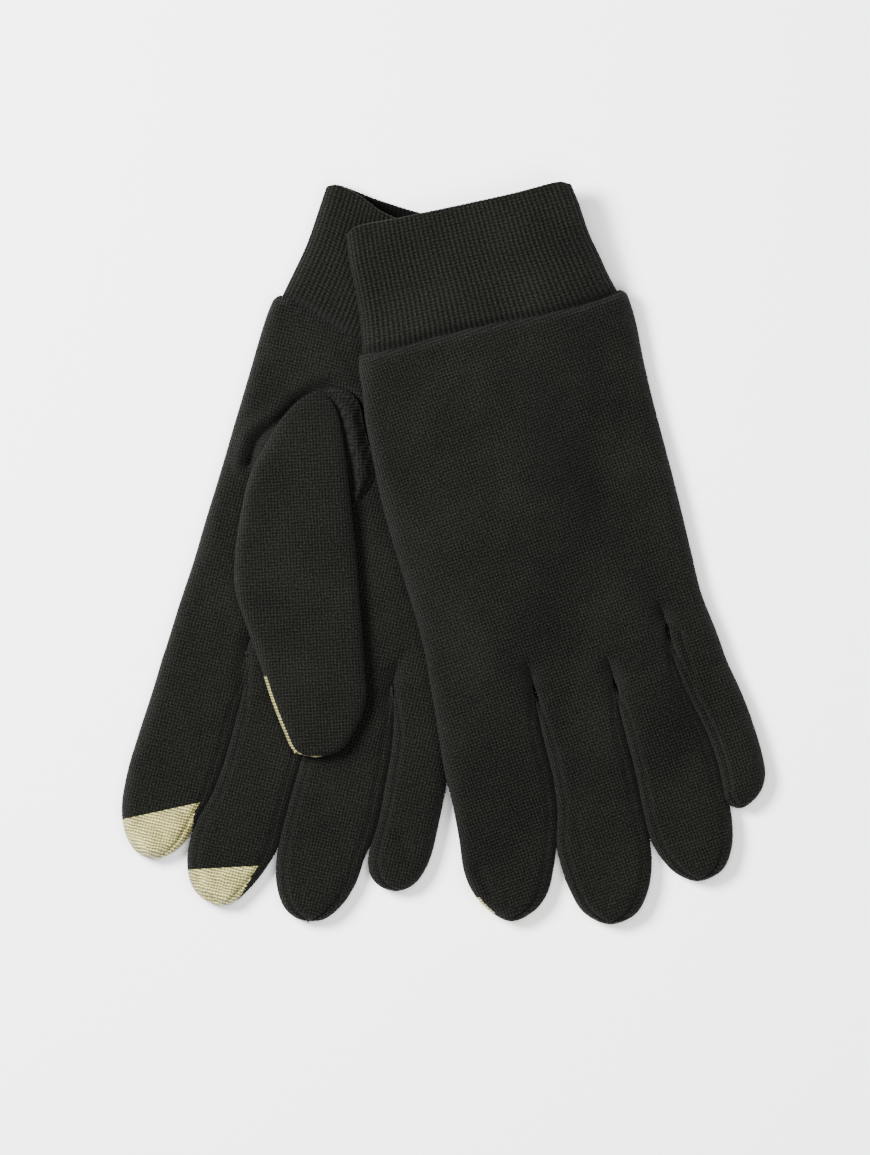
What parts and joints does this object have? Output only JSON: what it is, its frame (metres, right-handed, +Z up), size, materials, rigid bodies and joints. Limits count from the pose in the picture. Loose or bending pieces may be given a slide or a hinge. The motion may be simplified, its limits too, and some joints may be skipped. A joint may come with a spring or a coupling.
{
  "type": "touchscreen gloves",
  "caption": "Pair of thin dark knitted gloves lying crossed, with ribbed cuffs and pale conductive fingertips for touchscreens.",
  "frame": {"origin": "centre of the bounding box, on the surface that the gloves lie on", "axes": "+Z up; cuffs toward +Y, fingertips toward -Y; index fingers on the -X side"},
  "size_m": [0.2134, 0.2466, 0.0268],
  "materials": {
    "glove_knit": "fine matte knit",
    "rib_knit": "ribbed knit",
    "conductive_knit": "fine knit with a faint metallic sheen"
  },
  "bodies": {
    "right_glove": {"right_cuff": "rib_knit", "right_hand_back": "glove_knit", "right_hand_palm": "glove_knit", "right_thumb_base": "glove_knit", "right_thumb_gusset": "glove_knit"},
    "left_glove": {"left_cuff": "rib_knit", "left_hand_back": "glove_knit", "left_hand_palm": "glove_knit", "left_thumb_back": "glove_knit", "left_thumb_base": "glove_knit", "left_thumb_gusset": "glove_knit", "left_thumb_palm_side": "glove_knit", "left_thumb_touch_tip": "conductive_knit"},
    "right_index_finger": {"right_index_back": "glove_knit", "right_index_fourchette": "glove_knit", "right_index_palm_side": "glove_knit", "right_index_touch_tip": "conductive_knit"},
    "right_middle_finger": {"right_middle_back": "glove_knit", "right_middle_left_fourchette": "glove_knit", "right_middle_palm_side": "glove_knit", "right_middle_right_fourchette": "glove_knit", "right_middle_touch_tip": "conductive_knit"},
    "right_ring_finger": {"right_ring_back": "glove_knit", "right_ring_left_fourchette": "glove_knit", "right_ring_palm_side": "glove_knit", "right_ring_right_fourchette": "glove_knit"},
    "right_pinky_finger": {"right_pinky_back": "glove_knit", "right_pinky_fourchette": "glove_knit", "right_pinky_palm_side": "glove_knit"},
    "left_index_finger": {"left_index_back": "glove_knit", "left_index_fourchette": "glove_knit", "left_index_palm_side": "glove_knit", "left_index_touch_tip": "conductive_knit"},
    "left_middle_finger": {"left_middle_back": "glove_knit", "left_middle_left_fourchette": "glove_knit", "left_middle_palm_side": "glove_knit", "left_middle_right_fourchette": "glove_knit", "left_middle_touch_tip": "conductive_knit"},
    "left_ring_finger": {"left_ring_back": "glove_knit", "left_ring_left_fourchette": "glove_knit", "left_ring_palm_side": "glove_knit", "left_ring_right_fourchette": "glove_knit"},
    "left_pinky_finger": {"left_pinky_back": "glove_knit", "left_pinky_fourchette": "glove_knit", "left_pinky_palm_side": "glove_knit"},
    "right_thumb_end": {"right_thumb_back": "glove_knit", "right_thumb_palm_side": "glove_knit", "right_thumb_touch_tip": "conductive_knit"}
  },
  "joints": [
    {"name": "left_glove_lift", "type": "slide", "parent": "right_glove", "child": "left_glove", "axis": [0, 0, 1], "range_m": [0, 0.12]},
    {"name": "right_index_fold", "type": "hinge", "parent": "right_glove", "child": "right_index_finger", "pos_m": [-0.08887, -0.07353, 0.01005], "axis": [-0.968, 0.2509, 0], "range_deg": [0, 95]},
    {"name": "right_middle_fold", "type": "hinge", "parent": "right_glove", "child": "right_middle_finger", "pos_m": [-0.06394, -0.08035, 0.01005], "axis": [-0.9632, 0.2686, 0], "range_deg": [0, 95]},
    {"name": "right_ring_fold", "type": "hinge", "parent": "right_glove", "child": "right_ring_finger", "pos_m": [-0.03564, -0.08031, 0.01005], "axis": [-0.98, 0.1991, 0], "range_deg": [0, 95]},
    {"name": "right_pinky_fold", "type": "hinge", "parent": "right_glove", "child": "right_pinky_finger", "pos_m": [-0.00957, -0.07777, 0.01005], "axis": [-0.9879, 0.1551, 0], "range_deg": [0, 95]},
    {"name": "right_thumb_fold", "type": "hinge", "parent": "right_glove", "child": "right_thumb_end", "pos_m": [-0.04335, -0.01218, 0.01885], "axis": [-0.9995, -0.0321, 0], "range_deg": [0, 95]},
    {"name": "left_index_fold", "type": "hinge", "parent": "left_glove", "child": "left_index_finger", "pos_m": [0.01689, -0.07643, 0.0203], "axis": [-0.9917, -0.1286, 0], "range_deg": [0, 95]},
    {"name": "left_middle_fold", "type": "hinge", "parent": "left_glove", "child": "left_middle_finger", "pos_m": [0.04897, -0.07872, 0.01211], "axis": [-0.9874, -0.1585, 0], "range_deg": [0, 95]},
    {"name": "left_ring_fold", "type": "hinge", "parent": "left_glove", "child": "left_ring_finger", "pos_m": [0.07558, -0.07194, 0.01133], "axis": [-0.966, -0.2585, 0], "range_deg": [0, 95]},
    {"name": "left_pinky_fold", "type": "hinge", "parent": "left_glove", "child": "left_pinky_finger", "pos_m": [0.0923, -0.0569, 0.01005], "axis": [-0.955, -0.2965, 0], "range_deg": [0, 95]}
  ]
}
